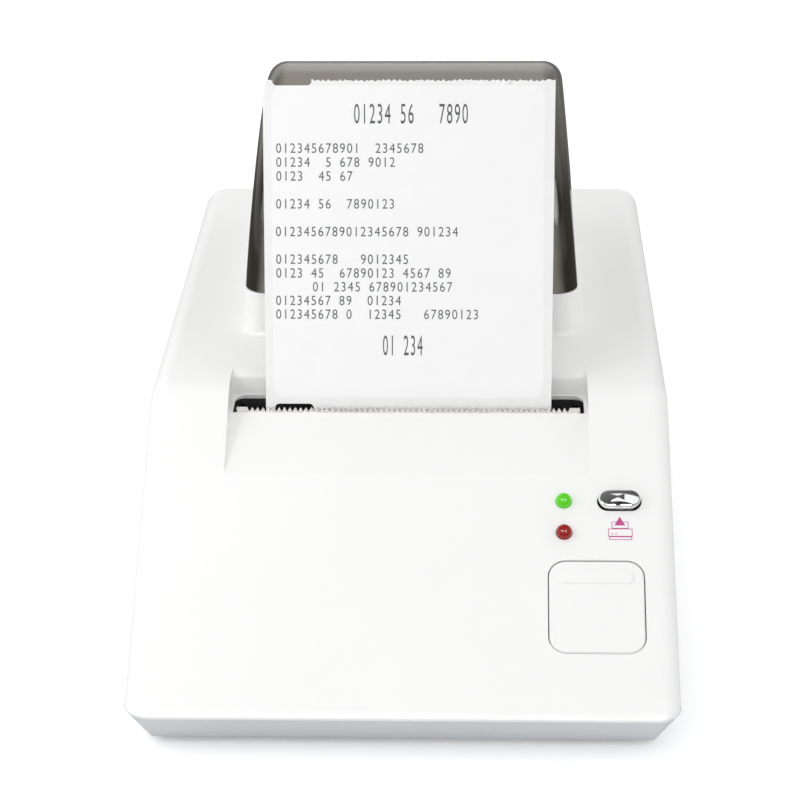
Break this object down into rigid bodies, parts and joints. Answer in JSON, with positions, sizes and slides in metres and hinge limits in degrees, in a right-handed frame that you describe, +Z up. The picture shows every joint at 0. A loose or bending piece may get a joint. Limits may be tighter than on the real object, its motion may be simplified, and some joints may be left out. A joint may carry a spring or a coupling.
{
  "type": "desktop label printer",
  "caption": "Compact desktop thermal label printer with sloping front, standing label, smoked hinged roll cover, feed button, release key and two status lights.",
  "frame": {"origin": "middle of the footprint, on the surface that the feet stand on", "axes": "+Z up, -Y towards the user and the sloping front, +X to the user's right"},
  "size_m": [0.1138, 0.188, 0.1136],
  "materials": {
    "case_white": "fine satin moulded plastic, off-white",
    "case_grey": "fine satin moulded plastic, pale grey",
    "smoke": "clear smoked plastic, polished",
    "rubber": "matt black rubber",
    "steel": "bright steel",
    "paper": "smooth white thermal label paper",
    "card": "brown card tube",
    "ceramic": "glazed ceramic strip",
    "aluminium": "plain extruded",
    "gear_plastic": "natural nylon",
    "black_plastic": "matt black moulded plastic",
    "motor_can": "pressed steel can",
    "board": "green circuit board",
    "chrome": "bright plated plastic",
    "green_lens": "clear green resin",
    "red_lens": "clear red resin"
  },
  "bodies": {
    "case": {"upper_case": "case_white", "lower_case": "case_grey", "rubber_feet": "rubber", "case_screws": "steel", "hinge_pins": "steel", "slot_guide": "black_plastic", "tear_bar": "steel", "liner_web": "paper", "label_face": "paper", "head_springs": "steel", "chassis": "steel", "platen_bushes": "gear_plastic", "stepper_motor": "motor_can", "gap_sensor": "black_plastic", "roll_cradle": "black_plastic", "feed_switch": "black_plastic", "panel_board": "board", "panel_posts": "black_plastic", "main_board": "board", "board_parts": "black_plastic", "power_jack": "black_plastic", "data_port": "black_plastic", "green_light": "green_lens", "red_light": "red_lens"},
    "cover": {"roll_cover": "smoke"},
    "head": {"print_head": "ceramic", "head_sink": "aluminium", "head_pivot": "steel", "release_arm": "steel"},
    "key": {"release_key": "case_white"},
    "feed": {"feed_button": "chrome"},
    "platen": {"platen_shaft": "steel", "platen_roller": "rubber", "platen_gear": "gear_plastic"},
    "idler": {"idler_gear": "gear_plastic"},
    "pinion": {"motor_pinion": "gear_plastic"},
    "roll": {"spool": "black_plastic", "spool_flange": "black_plastic", "roll_core": "card", "label_roll": "paper"}
  },
  "joints": [
    {"name": "cover_hinge", "type": "hinge", "parent": "case", "child": "cover", "pos_m": [0, 0.0768, 0.0605], "axis": [-1, 0, 0], "range_deg": [0, 100]},
    {"name": "feed_press", "type": "slide", "parent": "case", "child": "feed", "axis": [0, 0.5425, -0.8401], "range_m": [0, 0.0005], "stiffness_N_per_m": 400},
    {"name": "key_press", "type": "slide", "parent": "case", "child": "key", "axis": [0, 0.5425, -0.8401], "range_m": [0, 0.002], "stiffness_N_per_m": 800},
    {"name": "head_lift", "type": "hinge", "parent": "case", "child": "head", "pos_m": [0, -0.036, 0.017], "axis": [1, 0, 0], "range_deg": [0, 3.5]},
    {"name": "platen_spin", "type": "hinge", "parent": "case", "child": "platen", "pos_m": [0, -0.02466, 0.03535], "axis": [1, 0, 0], "continuous": true},
    {"name": "idler_spin", "type": "hinge", "parent": "case", "child": "idler", "pos_m": [0, -0.0088, 0.02795], "axis": [1, 0, 0], "continuous": true},
    {"name": "pinion_spin", "type": "hinge", "parent": "case", "child": "pinion", "pos_m": [0, -0.00045, 0.01799], "axis": [1, 0, 0], "continuous": true},
    {"name": "roll_spin", "type": "hinge", "parent": "case", "child": "roll", "pos_m": [0, 0.0359, 0.057], "axis": [1, 0, 0], "continuous": true}
  ],
  "couplings": [
    {"joint": "head_lift", "follows": "key_press", "rad_per_m": 30},
    {"joint": "idler_spin", "follows": "platen_spin", "ratio": -0.75},
    {"joint": "pinion_spin", "follows": "platen_spin", "ratio": 2.5}
  ]
}
